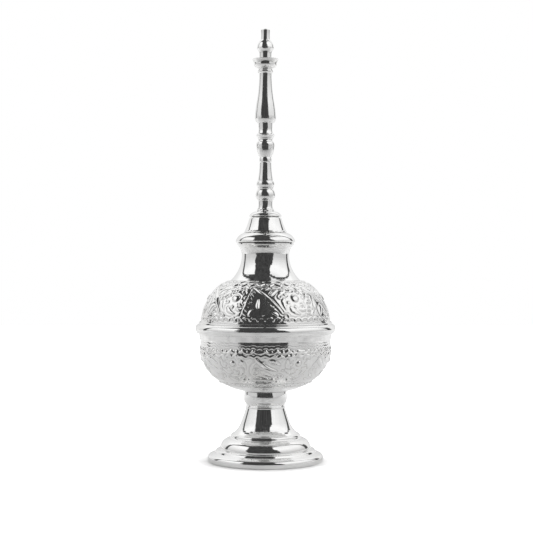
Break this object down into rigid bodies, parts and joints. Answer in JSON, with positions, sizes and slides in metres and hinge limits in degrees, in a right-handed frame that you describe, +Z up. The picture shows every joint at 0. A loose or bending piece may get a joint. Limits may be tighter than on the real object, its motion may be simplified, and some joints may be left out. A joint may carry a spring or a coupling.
{
  "type": "rose-water sprinkler",
  "caption": "Footed rose-water sprinkler: a hollow embossed belly on a flared foot, a screw-on cap with a tall hollow spout, a drip cup and a perforated screw-in tip.",
  "frame": {"origin": "centre of the foot, on the plane it stands on", "axes": "+Z up along the axis that every piece is turned about; -Y faces the camera of the picture; +X to its right"},
  "size_m": [0.0814, 0.0814, 0.25],
  "materials": {
    "silver_plate": "polished silver plate on brass",
    "bare_brass": "bare, as turned",
    "seal_rubber": "matt"
  },
  "bodies": {
    "pot": {"foot_shell": "silver_plate", "foot_collar": "silver_plate", "foot_bolt": "bare_brass", "bolt_seal": "seal_rubber", "foot_washer": "bare_brass", "foot_nut": "bare_brass", "lower_bowl": "silver_plate", "belly_band": "silver_plate", "upper_dome": "silver_plate", "neck": "silver_plate", "neck_thread_ring": "bare_brass"},
    "gasket": {"cap_gasket": "seal_rubber"},
    "spout": {"cap_thread_ring": "bare_brass", "cap_rim": "silver_plate", "cap_bell": "silver_plate", "cap_top_collar": "silver_plate", "spout_lower": "silver_plate", "spout_ferrule": "silver_plate", "spout_upper": "silver_plate", "drip_cup": "silver_plate"},
    "tip_seal": {"tip_washer": "seal_rubber"},
    "tip": {"sprinkler_tip": "silver_plate"}
  },
  "joints": [
    {"name": "cap_rise", "type": "slide", "parent": "pot", "child": "gasket", "axis": [0, 0, 1], "range_m": [0, 0.016]},
    {"name": "cap_turn", "type": "hinge", "parent": "gasket", "child": "spout", "pos_m": [0, 0, 0.126], "axis": [0, 0, 1], "range_deg": [0, 2880]},
    {"name": "tip_rise", "type": "slide", "parent": "spout", "child": "tip_seal", "axis": [0, 0, 1], "range_m": [0, 0.008]},
    {"name": "tip_turn", "type": "hinge", "parent": "tip_seal", "child": "tip", "pos_m": [0, 0, 0.2286], "axis": [0, 0, 1], "range_deg": [0, 2880]}
  ],
  "couplings": [
    {"joint": "cap_turn", "follows": "cap_rise", "rad_per_m": 3141.6},
    {"joint": "tip_turn", "follows": "tip_rise", "rad_per_m": 6283.2}
  ]
}
